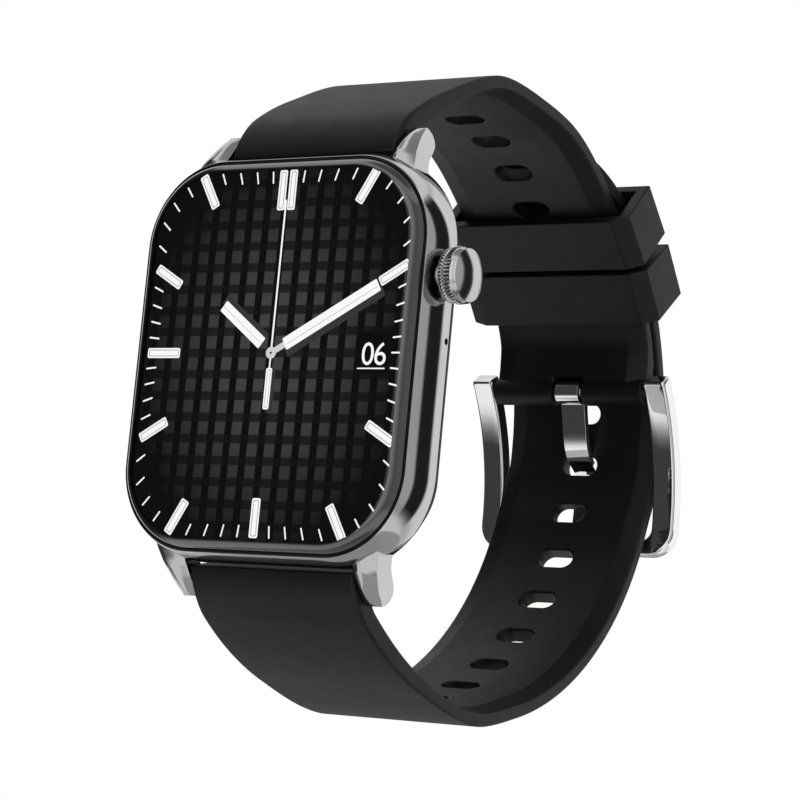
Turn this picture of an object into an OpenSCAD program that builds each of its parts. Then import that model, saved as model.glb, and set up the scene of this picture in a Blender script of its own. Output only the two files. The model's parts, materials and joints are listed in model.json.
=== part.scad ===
// Rectangular smartwatch, buckled into a closed loop.
// +X points to 3 o'clock (the crown), -Y out of the dial, +Z to 12 o'clock.
// The origin is the centre of the sensor window, the face that rests on the wrist.

/* [Case] */
// Distance between the centres of the left and right corner arcs of the case
core_w = 16.3; // [16.2:0.1:16.6]
// Distance between the centres of the upper and lower corner arcs of the case
core_h = 22.5; // [22:0.1:23]
// Corner radius of the cover glass
glass_r = 8.6; // [8.4:0.1:8.6]
// Corner radius of the metal frame at its widest
frame_r = 9.56; // [9.5:0.02:9.6]
// Height of the glass front above the wrist contact face
glass_top = 10.85; // [10.75:0.05:11]
// Thickness of the cover glass
glass_t = 1.1; // [1:0.05:1.2]

/* [Crown] */
// Radius of the crown
crown_r = 2.85; // [2.6:0.05:3]
// Height of the crown above the twelve-to-six centre line
crown_z = 8.3; // [8.1:0.1:8.6]
// How far the crown can be pressed
crown_stroke = 0.5; // [0.3:0.1:0.5]

/* [Strap] */
// Width of the strap
strap_w = 20; // [19:0.5:20]
// Thickness of the strap at its thinnest
strap_t = 1.9; // [1.7:0.05:1.9]
// Half depth of the strap's elliptical loop
loop_a = 37; // [36.8:0.1:37.2]
// Half height of the strap's elliptical loop
loop_b = 34.2; // [34.1:0.1:34.3]
// Angle from one adjusting slot to the next, round the loop
slot_pitch = 10.85; // [10.6:0.05:11]
// Length of an adjusting slot across the strap
slot_l = 4.6; // [4.4:0.1:5]
// Width of an adjusting slot along the strap
slot_w = 2.5; // [2.4:0.05:2.7]

/* [Keepers] */
// Width of a keeper along the strap
keeper_l = 6.7; // [6:0.1:6.8]
// Wall thickness of a keeper
keeper_t = 1.2; // [1:0.05:1.25]

/* [Buckle] */
// Outer width of the buckle frame
buckle_w = 26; // [26:0.5:28]
// Width of a buckle arm, across the strap
arm_w = 2.8; // [2.2:0.1:2.8]
// Thickness of the buckle frame, through the strap
arm_t = 2; // [1.6:0.1:2.1]
// Radius of the buckle pin
pin_r = 0.7; // [0.6:0.02:0.72]
// Width of the tongue
tongue_w = 3.1; // [2.6:0.1:3.2]

/* [Hidden] */
$fn = 64;
eps = 0.01;

// Case heights, measured forwards from the wrist contact face.
glass_low = glass_top - glass_t;
gasket_t = 0.25;
gasket_low = glass_low - gasket_t;
frame_top = glass_low + 0.05;
frame_low = 5.1;
frame_mid = 6.4;
frame_bulge = 8.6;
wall_r = 8;
cover_r = 9.35;
cover_top = frame_low - gasket_t;
cover_back = 0.7;
cover_floor = 1.5;
panel_r = 7.5;
panel_t = 0.8;
chassis_r = wall_r;
chassis_low = 8;
chassis_t = 0.6;
board_r = 7.3;
board_low = 3.4;
board_top = 4.1;
screw_x = core_w / 2 + 3.7;
screw_z = core_h / 2 + 3.7;
boss_r = 1.5;
boss_top = 7.4;
window_r = 9.2;

// Crown, along X.
crown_h = 7;
wall_x = core_w / 2 + wall_r;
side_x = core_w / 2 + frame_r;
cap_x = side_x + crown_stroke + 0.15;
cap_l = 2.7;
stem_r = 0.8;
stem_tip = 13.8;
bushing_r = 1.4;
port_h = 5.65;
port_z = 2;
speaker_z = -6;
speaker_h = 5.8;

// Spring bars and lugs: depth behind the origin is negative Y.
bar_y = -4.1;
bar_z = 22.9;
tube_r = 0.75;
tip_r = 0.42;
lug_in = strap_w / 2 + 0.2;
lug_out = 13.5;
lug_r = 1.25;
lever_x = 5.4;
lever_stroke = 1.3;
tip_reach = 1.2;

// Strap loop: an ellipse in the YZ plane, traced by its angle from +Y.
loop_y = 19.5;
root_a = 129;
root_t = 3;
root_dip = 0.5;
step_a = 3;
tip_a = 66;
lap_lift = 0.9;
lap_gap = 0.3;
short_end_a = 16;
slot_first = -3;
slot_last = 7;
slot_zero = -3.5;
vent_first = 85.2;
vent_pitch = 9.8;
strap_end_z = 21.3;

// Buckle.
pin_y = 51.9;
pin_z = 6.35;
knuckle_r = 1.62;
arc_r = 28.4;
arc_y = 27.94;
arc_z = -8.86;
arc_end = 36.2;
arc_far = -7.4;
bar_a = 3.6;
ring_r = 1.5;
tongue_t = 0.8;
keeper_side = 1.4;
bevel_x = 2;
bevel_y = 0.9;
keeper_tilt = 43.5;
upper_keeper_a = 47.5;
lower_keeper_a = 34.8;

// ---- Helpers ----

// Turns a case piece from its face frame (x right, y up, z out of the dial) to the watch frame.
module face() {
  rotate([90, 0, 0]) children();
}

// A rounded rectangle whose corner arcs are centred on the case's corner centres.
module outline(r) {
  square([core_w + 2 * r, core_h], center = true);
  square([core_w, core_h + 2 * r], center = true);
  for (x = [-1, 1], y = [-1, 1]) {
    translate([x * core_w / 2, y * core_h / 2]) circle(r);
  }
}

// A plate of that outline between two heights.
module plate(r, low, high) {
  translate([0, 0, low]) linear_extrude(high - low) outline(r);
}

// A flat ring between two outlines.
module ring_plate(r_out, r_in, low, high) {
  difference() {
    plate(r_out, low, high);
    plate(r_in, low - eps, high + eps);
  }
}

// Sweeps a profile (distance from the corner centre, height) round the case outline.
module sweep_case() {
  for (side = [0, 1]) {
    rotate([0, 0, 180 * side]) {
      translate([core_w / 2, core_h / 2, 0]) rotate_extrude(angle = 90) children();
      translate([-core_w / 2, core_h / 2, 0]) rotate([0, 0, 90]) rotate_extrude(angle = 90) children();
      translate([core_w / 2, core_h / 2, 0]) rotate([90, 0, 0]) linear_extrude(core_h) children();
      translate([-core_w / 2, core_h / 2, 0]) rotate([90, 0, 90]) linear_extrude(core_w) children();
    }
  }
}

// A cylinder along X at a depth and height, from one x to another.
module rod_x(r, y, z, x0, x1) {
  translate([x0, y, z]) rotate([0, 90, 0]) cylinder(r = r, h = x1 - x0);
}

// Extrudes an outline drawn in (Y, Z) along X, centred or between two places.
module across(w, x0 = undef) {
  start = is_undef(x0) ? -w / 2 : x0;
  translate([start, 0, 0]) rotate([90, 0, 90]) linear_extrude(w) children();
}

// A box given by its lowest and highest corners.
module span(low, high) {
  translate(low) cube(high - low);
}

function smooth(v, v0, v1) =
  let (u = min(1, max(0, (v - v0) / (v1 - v0)))) u * u * (3 - 2 * u);

// A point of the strap loop at an angle, moved outwards by d.
function loop_point(a, d) =
  let (n = [cos(a) / loop_a, sin(a) / loop_b], k = norm(n))
  [loop_y + loop_a * cos(a) + d * n[0] / k, loop_b * sin(a) + d * n[1] / k];

// Angle of the loop's outward normal above +Y.
function loop_normal(a) = atan2(sin(a) / loop_b, cos(a) / loop_a);

// Outer surface and thickness of the long strap; a is positive above the middle.
function dip(a) = root_dip * smooth(abs(a), 88, 112);
function long_out(a) = lap_lift * smooth(a, -17, -3) + 1.9 * smooth(a, 53, tip_a) - dip(a);
function root_growth(a) = (root_t - strap_t) * smooth(abs(a), 98, root_a);
function long_t(a) = strap_t + 0.1 + root_growth(a);

// Outer surface and thickness of the short strap.
function lap_depth() = lap_lift - strap_t - 0.1 - lap_gap;
function short_out(a) = lap_depth() * (1 - smooth(a, 52, 76)) - dip(a);
function short_t(a) = strap_t + root_growth(a) + 1.1 * (1 - smooth(a, 17, 23));

// ---- Case ----

module cover_glass() {
  edge = 1.5;
  color("black", 0.6) face() {
    sweep_case() intersection() {
      translate([glass_r - edge, glass_top - edge]) circle(edge);
      translate([glass_r - edge, glass_low]) square([edge, glass_t]);
    }
    plate(glass_r - edge, glass_low, glass_top);
  }
}

module glass_gasket() {
  color("black") face() ring_plate(glass_r + 0.05, panel_r + 0.3, gasket_low, glass_low);
}

module display_panel() {
  color("dimgray") face() plate(panel_r, glass_low - panel_t, glass_low);
}

module display_flex() {
  low = -core_h / 2 - panel_r + 1;
  color("orange") across(6) polygon([
    [-glass_low + panel_t, low], [-glass_low + panel_t, low + 1.5],
    [-glass_low + panel_t + 0.15, low + 1.5], [-glass_low + panel_t + 0.15, low + 0.15],
    [-board_top - 0.15, low + 0.15], [-board_top - 0.15, low + 2.5],
    [-board_top, low + 2.5], [-board_top, low]
  ]);
}

module frame_profile() {
  difference() {
    intersection() {
      translate([frame_r - frame_bulge, frame_mid]) circle(frame_bulge);
      translate([wall_r, frame_low]) square([frame_r, frame_top - frame_low]);
    }
    translate([0, gasket_low]) square([glass_r + 0.15, glass_t]);
  }
}

module mid_frame() {
  color("slategray") difference() {
    union() {
      face() sweep_case() frame_profile();
      face() for (x = [-1, 1], y = [-1, 1]) {
        translate([x * screw_x, y * screw_z, frame_low]) {
          cylinder(r = boss_r, h = boss_top - frame_low);
          rotate([0, 0, atan2(y, x)]) translate([0, -1.2, 0]) cube([3, 2.4, boss_top - frame_low]);
        }
      }
    }
    face() for (x = [-1, 1], y = [-1, 1]) {
      translate([x * screw_x, y * screw_z, frame_low - eps]) cylinder(r = 0.55, h = 1.9);
    }
    rod_x(bushing_r, -crown_h, crown_z, side_x - 4, side_x + 1);
    rod_x(0.35, -port_h, port_z, side_x - 4, side_x + 1);
    for (k = [-1 : 1]) {
      rod_x(0.4, -speaker_h, speaker_z + 1.6 * k, -side_x - 1, -side_x + 4);
    }
  }
}

// One horn: a side profile round the spring bar, cut to a taper in plan.
module lug() {
  root_z = core_h / 2 + wall_r;
  difference() {
    intersection() {
      union() {
        rod_x(lug_r, bar_y, bar_z, lug_in, lug_out);
        across(lug_out - lug_in, lug_in) polygon([
          [-7.55, 20.9], [-8.3, root_z], [-5.2, root_z],
          [bar_y + lug_r, bar_z], [bar_y, bar_z + lug_r],
          [bar_y - lug_r * cos(40), bar_z + lug_r * sin(40)], [-6.3, 22.5]
        ]);
      }
      face() linear_extrude(20) polygon([
        [lug_in, root_z], [lug_out, root_z], [lug_out - 1.6, bar_z + 2], [lug_in, bar_z + 2]
      ]);
    }
    face() sweep_case() intersection() {
      translate([frame_r - frame_bulge, frame_mid]) circle(frame_bulge);
      square([frame_r + 1, frame_top]);
    }
    rod_x(tip_r + 0.08, bar_y, bar_z, lug_in - 1, lug_in + tip_reach + 0.3);
  }
}

module lugs() {
  color("gray") for (x = [0, 1], z = [0, 1]) {
    mirror([x, 0, 0]) mirror([0, 0, z]) lug();
  }
}

module chassis() {
  color("darkslategray") face() difference() {
    union() {
      plate(chassis_r, chassis_low, chassis_low + chassis_t);
      translate([-11.2, -10.7, 6.6]) cube([21.4, 20.4, chassis_low - 6.6 + eps]);
    }
    translate([-10.6, -10.1, 6.5]) cube([20.2, 19.2, chassis_low - 6.5]);
    translate([-3.6, -core_h / 2 - panel_r - 1, 6]) cube([7.2, 3.4, 4]);
    translate([13.2, crown_z - 1.9, 6]) cube([4, 3.8, 4]);
  }
}

module battery() {
  color("silver") face() translate([-10.5, -10, 4.3]) cube([20, 19, chassis_low - 4.3]);
}

module main_board() {
  color("darkgreen") face() difference() {
    plate(board_r, board_low, board_top);
    for (x = [-1, 1], y = [-1, 1]) {
      translate([x * screw_x, y * screw_z, 0]) cylinder(r = boss_r + 0.3, h = 10);
    }
  }
}

module shield_can() {
  color("lightgray") face() difference() {
    translate([-9, 10.4, board_top]) cube([9, 6.6, 1.8]);
    translate([-8.8, 10.6, board_top - eps]) cube([8.6, 6.2, 1.6]);
  }
}

module chips() {
  color([0.12, 0.12, 0.13]) face() {
    translate([-7.6, 11.4, board_top]) cube([5, 4.4, 0.9]);
    translate([-2, 11.4, board_top]) cube([1.4, 2, 0.7]);
    translate([11, -12, board_top]) cube([3, 3, 0.8]);
  }
}

module board_connectors() {
  color("goldenrod") face() {
    translate([-3, -15.2, board_top]) cube([6, 1.6, 0.9]);
    translate([6, -14.6, board_top]) cube([3, 1.6, 0.9]);
  }
}

module vibration_motor() {
  color("silver") face() translate([5, 13.8, board_top]) cylinder(r = 4, h = 2.7);
}

module speaker() {
  color([0.1, 0.1, 0.1]) face() translate([-15.6, -12, board_top]) cube([4, 12, 3.2]);
}

module speaker_mesh() {
  color("gray") span([-wall_x, -6.7, -9], [-15.6, -5.15, -3]);
}

module microphone() {
  color("gold") face() translate([12.9, 0.6, board_top]) cube([2.4, 2.8, 1]);
}

module mic_boot() {
  color([0.15, 0.15, 0.15]) difference() {
    span([14, -7.7, 0.6], [wall_x, -board_top - 1, 3.4]);
    rod_x(0.35, -port_h, port_z, 14.7, wall_x + 1);
  }
}

module antenna_strip() {
  color("goldenrod") face() translate([-7, 17.4, 7.1]) cube([14, 0.4, 0.9]);
}

// ---- Crown ----

module crown_cap() {
  dome_r = 6;
  color("gray") difference() {
    intersection() {
      rod_x(crown_r, -crown_h, crown_z, cap_x, cap_x + cap_l);
      translate([cap_x + cap_l - dome_r, -crown_h, crown_z]) rotate([0, 90, 0]) sphere(dome_r);
    }
    rod_x(stem_r, -crown_h, crown_z, cap_x - 1, cap_x + 1.6);
  }
}

module crown_stem() {
  groove = wall_x - 0.6;
  color("silver") union() {
    rod_x(stem_r, -crown_h, crown_z, stem_tip, groove - 0.6);
    rod_x(stem_r - 0.25, -crown_h, crown_z, groove - 0.6, groove - 0.1);
    rod_x(stem_r, -crown_h, crown_z, groove - 0.1, cap_x + 1.6);
  }
}

module crown_clip() {
  color("dimgray") difference() {
    rod_x(1.3, -crown_h, crown_z, wall_x - 1.15, wall_x - 0.75);
    rod_x(stem_r - 0.2, -crown_h, crown_z, wall_x - 1.5, wall_x);
    span([wall_x - 1.5, -crown_h - 0.45, crown_z], [wall_x, -crown_h + 0.45, crown_z + 2]);
  }
}

module crown_o_ring() {
  color("black") translate([wall_x + 1.05, -crown_h, crown_z]) rotate([0, 90, 0])
    rotate_extrude() translate([stem_r + 0.28, 0]) circle(0.2);
}

module crown_bushing() {
  color("darkgray") difference() {
    union() {
      rod_x(bushing_r, -crown_h, crown_z, wall_x - 0.3, side_x);
      rod_x(bushing_r + 0.2, -crown_h, crown_z, wall_x - 0.45, wall_x);
    }
    rod_x(stem_r + 0.05, -crown_h, crown_z, wall_x - 1, side_x + 1);
    rod_x(bushing_r - 0.1, -crown_h, crown_z, wall_x + 0.75, wall_x + 1.35);
  }
}

module crown_switch() {
  color("gray") {
    span([11.2, -crown_h - 0.8, crown_z - 1.6], [13, -board_top, crown_z + 1.6]);
    rod_x(0.6, -crown_h, crown_z, 13, 13.25);
  }
}

// ---- Back ----

module back_cover() {
  color([0.08, 0.08, 0.09]) face() difference() {
    union() {
      sweep_case() polygon([
        [6.5, cover_back], [6.9, cover_back], [7.2, 1.1], [7.9, 2.4],
        [8.9, 4], [cover_r, cover_top], [6.5, cover_top]
      ]);
      plate(6.5, cover_back, cover_top);
    }
    difference() {
      union() {
        plate(6.3, cover_floor, frame_low);
        plate(7.5, 2.6, frame_low);
      }
      for (x = [-1, 1], y = [-1, 1]) {
        translate([x * screw_x, y * screw_z, 0]) cylinder(r = boss_r, h = frame_low);
      }
    }
    for (x = [-1, 1], y = [-1, 1]) {
      translate([x * screw_x, y * screw_z, -1]) cylinder(r = 0.7, h = 6);
      translate([x * screw_x, y * screw_z, -1]) cylinder(r = 1.2, h = cover_back + 1.6);
    }
    translate([0, 0, -1]) cylinder(r = window_r + 0.05, h = 5);
    for (x = [-1, 1]) {
      translate([2 * x, -14.2, -1]) cylinder(r = 1.05, h = 5);
    }
  }
}

module back_gasket() {
  color("black") face() ring_plate(cover_r - 0.25, wall_r + 0.05, cover_top, frame_low);
}

module back_screws() {
  head = cover_back + 0.05;
  color("silver") face() for (x = [-1, 1], y = [-1, 1]) {
    translate([x * screw_x, y * screw_z, 0]) difference() {
      union() {
        translate([0, 0, head]) cylinder(r = 1.1, h = 0.55);
        translate([0, 0, head]) cylinder(r = 0.5, h = 6);
      }
      for (turn = [0, 90]) {
        rotate([0, 0, turn]) translate([-0.65, -0.14, 0]) cube([1.3, 0.28, head + 0.25]);
      }
    }
  }
}

module sensor_window() {
  color("dimgray") face() difference() {
    rotate_extrude() polygon([
      [0, 0], [window_r - 1.2, 0], [window_r - 0.4, 0.25], [window_r, 0.8],
      [window_r, cover_floor], [0, cover_floor]
    ]);
    translate([0, 0, 0.8]) cylinder(r = window_r - 1.1, h = 2);
  }
}

module sensor_board() {
  color("darkgreen") face() translate([0, 0, cover_floor]) cylinder(r = window_r - 0.4, h = 0.6);
}

module sensor_leds() {
  color("lime") face() for (x = [-1, 1]) {
    translate([1.6 * x - 0.8, -0.8, 0.95]) cube([1.6, 1.6, cover_floor - 0.95]);
  }
}

module photodiodes() {
  color([0.1, 0.1, 0.2]) face() for (turn = [0 : 90 : 270]) {
    rotate([0, 0, turn]) translate([-1.4, 4.4, 0.95]) cube([2.8, 1.8, cover_floor - 0.95]);
  }
}

module charging_contacts() {
  color("gold") face() for (x = [-1, 1]) {
    translate([2 * x, -14.2, cover_back - 0.05]) cylinder(r = 1, h = 1.6);
  }
}

module charging_magnets() {
  color("silver") face() for (x = [-1, 1]) {
    translate([6.5 * x - 2, -15.2, cover_floor]) cube([4, 2, 1.1]);
  }
}

// ---- Strap ----

// A hollow bar with one fixed tip and a window for the lever; flip picks 12 or 6 o'clock.
module spring_bar(flip) {
  end = strap_w / 2 - 0.3;
  color("silver") mirror([0, 0, flip]) {
    difference() {
      rod_x(tube_r, bar_y, bar_z, -end, end);
      rod_x(tip_r + 0.08, bar_y, bar_z, 2.4, end + 1);
      span([lever_x - lever_stroke - 0.5, bar_y, bar_z - 0.3], [lever_x + 0.5, bar_y + 2, bar_z + 0.3]);
    }
    rod_x(tip_r, bar_y, bar_z, -lug_in - tip_reach, -end);
  }
}

module spring_bar_upper() {
  spring_bar(0);
}

module spring_bar_lower() {
  spring_bar(1);
}

// The sliding tip with the small lever that draws it in.
module release_pin(flip) {
  color("lightgray") mirror([0, 0, flip]) union() {
    rod_x(tip_r, bar_y, bar_z, lever_x - 0.6, lug_in + tip_reach);
    span([lever_x - 0.3, bar_y, bar_z - 0.2], [lever_x + 0.3, bar_y + 2.5, bar_z + 0.2]);
  }
}

module release_pin_upper() {
  release_pin(0);
}

module release_pin_lower() {
  release_pin(1);
}

// The end of a strap beside the case, from its outer to its inner surface, on the 12 o'clock side.
function root_points() = [
  loop_point(root_a, -root_dip), [loop_point(root_a, 0)[0] - 1.3, bar_z],
  [-6.6, strap_end_z + 0.4], [-6.2, strap_end_z], [-4.6, strap_end_z - 0.2],
  [-2.4, strap_end_z - 1.1], [-1.9, strap_end_z - 0.5], loop_point(root_a, -root_dip - root_t)
];

// Cuts the bar bore and lever window out of a strap end on the 12 o'clock side.
module strap_bar_cut() {
  rod_x(tube_r + 0.04, bar_y, bar_z, -strap_w, strap_w);
  span([lever_x - lever_stroke - 0.7, bar_y, bar_z - 0.5], [lever_x + 0.7, bar_y + 6, bar_z + 0.5]);
}

// A stadium slot through the strap at an angle of the loop.
module slot_cut(a) {
  centre = loop_point(a, 0);
  straight = slot_l / 2 - slot_w / 2;
  translate([0, centre[0], centre[1]]) rotate([loop_normal(a), 0, 0]) rotate([90, 0, 0]) {
    for (x = [-1, 1]) {
      translate([x * straight, 0, 0]) cylinder(r = slot_w / 2, h = 12, center = true);
    }
    cube([2 * straight, slot_w, 12], center = true);
  }
}

module strap_short() {
  angles = [for (a = [short_end_a + 2 : step_a : root_a - 1]) a];
  last = len(angles) - 1;
  color([0.13, 0.13, 0.13]) difference() {
    union() {
      across(strap_w) polygon(concat(
        [for (a = angles) loop_point(a, short_out(a))],
        root_points(),
        [for (k = [last : -1 : 0]) loop_point(angles[k], short_out(angles[k]) - short_t(angles[k]))],
        [[pin_y - knuckle_r + 0.3, pin_z + 0.8], [pin_y + knuckle_r - 0.3, pin_z + 0.8]]
      ));
      rod_x(knuckle_r, pin_y, pin_z, -strap_w / 2, strap_w / 2);
    }
    rod_x(pin_r + 0.06, pin_y, pin_z, -strap_w, strap_w);
    span([-tongue_w / 2 - 0.4, pin_y - 4, pin_z - 4], [tongue_w / 2 + 0.4, pin_y + 4, pin_z + 2.1]);
    strap_bar_cut();
    for (k = [0 : 3]) {
      slot_cut(vent_first - k * vent_pitch);
    }
  }
}

module strap_long() {
  angles = [for (a = [-root_a + step_a : step_a : tip_a]) a];
  last = len(angles) - 1;
  color([0.14, 0.14, 0.14]) difference() {
    intersection() {
      across(strap_w) polygon(concat(
        [for (p = root_points()) [p[0], -p[1]]],
        [for (a = angles) loop_point(a, long_out(a) - long_t(a))],
        [for (k = [last : -1 : 0]) loop_point(angles[k], long_out(angles[k]))]
      ));
      tip_plan();
    }
    mirror([0, 0, 1]) strap_bar_cut();
    for (k = [slot_first : slot_last]) {
      slot_cut(slot_zero - k * slot_pitch);
    }
  }
}

// The plan that rounds the long strap's tip, seen along the strap's normal there.
module tip_plan() {
  round_a = tip_a - 16;
  centre = loop_point(round_a, 0);
  tilt = loop_normal(round_a + 8);
  far = 60;
  union() {
    span([-strap_w, -20, -50], [strap_w, 80, 0]);
    translate([0, centre[0], centre[1]]) rotate([tilt, 0, 0]) {
      rotate([90, 0, 0]) cylinder(r = strap_w / 2, h = 30, center = true);
      span([-strap_w, -far, -far], [strap_w, far, 0]);
    }
  }
}

// A rectangular loop round both straps at an angle of the strap loop, bevelled on the wrist side.
module keeper(a) {
  low = lap_depth() - strap_t - 0.45;
  high = lap_lift + 0.4;
  half = strap_w / 2 + 1.1;
  out = half + keeper_side;
  centre = loop_point(a, 0);
  tilt = (loop_normal(a) + keeper_tilt) / 2;
  color([0.12, 0.12, 0.12]) translate([0, centre[0], centre[1]]) rotate([tilt, 0, 0])
    translate([0, 0, -keeper_l / 2]) linear_extrude(keeper_l) difference() {
      polygon([
        [bevel_x - out, low - keeper_t], [out - bevel_x, low - keeper_t],
        [out, low - keeper_t + bevel_y], [out, high + keeper_t],
        [-out, high + keeper_t], [-out, low - keeper_t + bevel_y]
      ]);
      translate([-half, low]) square([2 * half, high - low]);
    }
}

module keeper_upper() {
  keeper(upper_keeper_a);
}

module keeper_lower() {
  keeper(lower_keeper_a);
}

// ---- Buckle ----

// Outline of the buckle's curved bar in (Y, Z), between two angles of its arc.
module buckle_arc(a0, a1) {
  inner = arc_r - arm_t / 2;
  outer = arc_r + arm_t / 2;
  reach = 2 * outer;
  translate([arc_y, arc_z]) intersection() {
    difference() {
      circle(outer);
      circle(inner);
    }
    polygon([
      [0, 0], reach * [cos(a0), sin(a0)],
      reach * [cos((a0 + a1) / 2), sin((a0 + a1) / 2)], reach * [cos(a1), sin(a1)]
    ]);
  }
}

module buckle_frame() {
  out = buckle_w / 2;
  color("silver") difference() {
    union() {
      for (x = [-out, out - arm_w]) {
        across(arm_w, x) union() {
          buckle_arc(arc_far, arc_end);
          translate([pin_y, pin_z]) circle(arm_t / 2 + 0.3);
        }
      }
      across(buckle_w - 1) buckle_arc(arc_far, arc_far + bar_a);
    }
    rod_x(pin_r, pin_y, pin_z, -out + 0.5, out - 0.5);
  }
}

module buckle_pin() {
  out = buckle_w / 2 - 0.5;
  color("gray") rod_x(pin_r, pin_y, pin_z, -out, out);
}

// The tongue: a ring round the pin, a flat run inside the strap and a tip outside it.
module buckle_tongue() {
  t = tongue_t;
  color("silver") difference() {
    union() {
      rod_x(ring_r, pin_y, pin_z, -tongue_w / 2, tongue_w / 2);
      across(tongue_w) polygon([
        [pin_y + 0.2, pin_z - 1.1], [pin_y + 0.55, pin_z - 1.7], [54.2, -1.1], [57.4, -2.95],
        [57.75, -3.9], [57.35, -12.6], [57.35 + t, -12.6], [57.75 + t, -3.4],
        [58.05, -2.3], [54.2 + t, -0.85], [pin_y + 0.5 + t, pin_z - 1.3], [pin_y + 1.3, pin_z - 0.5]
      ]);
    }
    rod_x(pin_r + 0.06, pin_y, pin_z, -tongue_w, tongue_w);
  }
}

cover_glass();
glass_gasket();
display_panel();
display_flex();
mid_frame();
lugs();
chassis();
battery();
main_board();
shield_can();
chips();
board_connectors();
vibration_motor();
speaker();
speaker_mesh();
microphone();
mic_boot();
antenna_strip();
crown_cap();
crown_stem();
crown_clip();
crown_o_ring();
crown_bushing();
crown_switch();
back_cover();
back_gasket();
back_screws();
sensor_window();
sensor_board();
sensor_leds();
photodiodes();
charging_contacts();
charging_magnets();
spring_bar_upper();
spring_bar_lower();
release_pin_upper();
release_pin_lower();
strap_short();
strap_long();
keeper_upper();
keeper_lower();
buckle_frame();
buckle_pin();
buckle_tongue();
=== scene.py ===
"""Looks of a rectangular smartwatch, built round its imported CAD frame.

+X points to 3 o'clock, -Y out of the dial and +Z to 12 o'clock. Shapes are worked out in
millimetres and turned into metres when a mesh is made.
"""

import json
import math

import bmesh
import bpy
import numpy as np
from mathutils import Matrix, Vector


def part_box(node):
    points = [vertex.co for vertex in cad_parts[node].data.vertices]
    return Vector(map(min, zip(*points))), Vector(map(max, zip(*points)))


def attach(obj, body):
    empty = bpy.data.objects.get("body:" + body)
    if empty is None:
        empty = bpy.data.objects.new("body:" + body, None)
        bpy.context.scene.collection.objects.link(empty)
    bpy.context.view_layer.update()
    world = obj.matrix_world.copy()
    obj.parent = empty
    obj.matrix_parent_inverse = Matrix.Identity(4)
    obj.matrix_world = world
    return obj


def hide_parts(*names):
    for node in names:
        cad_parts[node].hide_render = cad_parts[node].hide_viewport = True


MM = 0.001

# Case: the corner arcs' centres, and radii and heights measured from them, as in the CAD.
CORE_X = 8.15
CORE_Z = 11.25
GLASS_R = 8.6
GLASS_TOP = 10.85
GLASS_LOW = 9.75
GLASS_EDGE = 1.5
INK_R = 7.65
FRAME_R = 9.56
FRAME_MID = 6.4
FRAME_BULGE = 8.6
FRAME_LOW = 5.1
FRAME_TOP = GLASS_LOW + 0.05
SEAT_R = 8.75
SEAT_H = 9.5
WALL_R = 8.0
SIDE_X = CORE_X + FRAME_R

# Holes through the band along X: (x, y, z, radius, length).
MIC_PORT = (SIDE_X, -5.65, 2.0, 0.35, 5.0)
CROWN_BORE = (SIDE_X - 1, -7.0, 8.3, 1.4, 6.0)
SPEAKER_PORTS = [(-SIDE_X, -5.8, -6.0 + 1.6 * k, 0.4, 5.0) for k in (-1, 0, 1)]

# Display. The markers and the minute track are drawn first, then scaled and lifted together.
DIAL_Y = -9.98
DIAL_SCALE = 1.022
DIAL_LIFT = 0.15
MARK_TOP = 18.21
MARK_SIDE = 15.19
MARK_WIDE = 1.02
TRACK_CORNER = 6.8

# Strap loop: an ellipse in the YZ plane, traced by its angle from +Y. Names in _A are such angles.
# FLAT_T is the thickness that the rounded edges are drawn for.
LOOP_Y = 19.5
LOOP_WIDE = 37.0
LOOP_TALL = 34.2
STRAP_HALF = 10.0
STRAP_T = 1.9
LONG_T = 2.0
FLAT_T = 2.0
EDGE_R = 0.28
RIM_R = 0.22
MARGIN_X = 7.75
ROOT_A = 129.0
ROOT_T = 3.0
ROOT_DIP = 0.5
UPPER_CREST = 0.65
LOWER_CREST = 0.5
ROOT_LENGTH = 5.0
TIP_A = 66.0
TIP_CENTRE_A = 50.0
TIP_LIFT = 1.9
LAP_LIFT = 0.9
LAP_GAP = 0.4
LAP_DEPTH = LAP_LIFT - STRAP_T - LAP_GAP
SHORT_END_A = 18.0
FOLD_T = 1.1
FOLD_LENGTH = 3.0
FOLD_HALF = 1.32
SLOT_HALF = 1.25
SLOT_REACH = 1.05
SLOT_A = -3.5
SLOT_STEP = 10.85
VENT_A = 85.2
VENT_STEP = 9.8

# Keepers.
UPPER_KEEPER_A = 47.5
LOWER_KEEPER_A = 34.8
KEEPER_LONG = 6.7
KEEPER_LEAN = 43.5

# Buckle.
PIN_Y = 51.9
PIN_Z = 6.35
KNUCKLE_R = 1.62
NOTCH_HALF = 1.95
NOTCH_DEPTH = 1.5
ARC_R = 28.4
ARC_Y = 27.94
ARC_Z = -8.86

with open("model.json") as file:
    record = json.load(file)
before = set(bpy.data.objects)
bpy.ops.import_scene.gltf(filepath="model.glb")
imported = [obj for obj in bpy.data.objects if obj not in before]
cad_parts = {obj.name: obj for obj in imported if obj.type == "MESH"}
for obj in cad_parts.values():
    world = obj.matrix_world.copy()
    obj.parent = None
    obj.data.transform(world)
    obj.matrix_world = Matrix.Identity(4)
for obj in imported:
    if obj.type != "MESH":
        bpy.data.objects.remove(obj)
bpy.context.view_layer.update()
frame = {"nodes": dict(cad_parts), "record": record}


# ---- Materials ----


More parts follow.
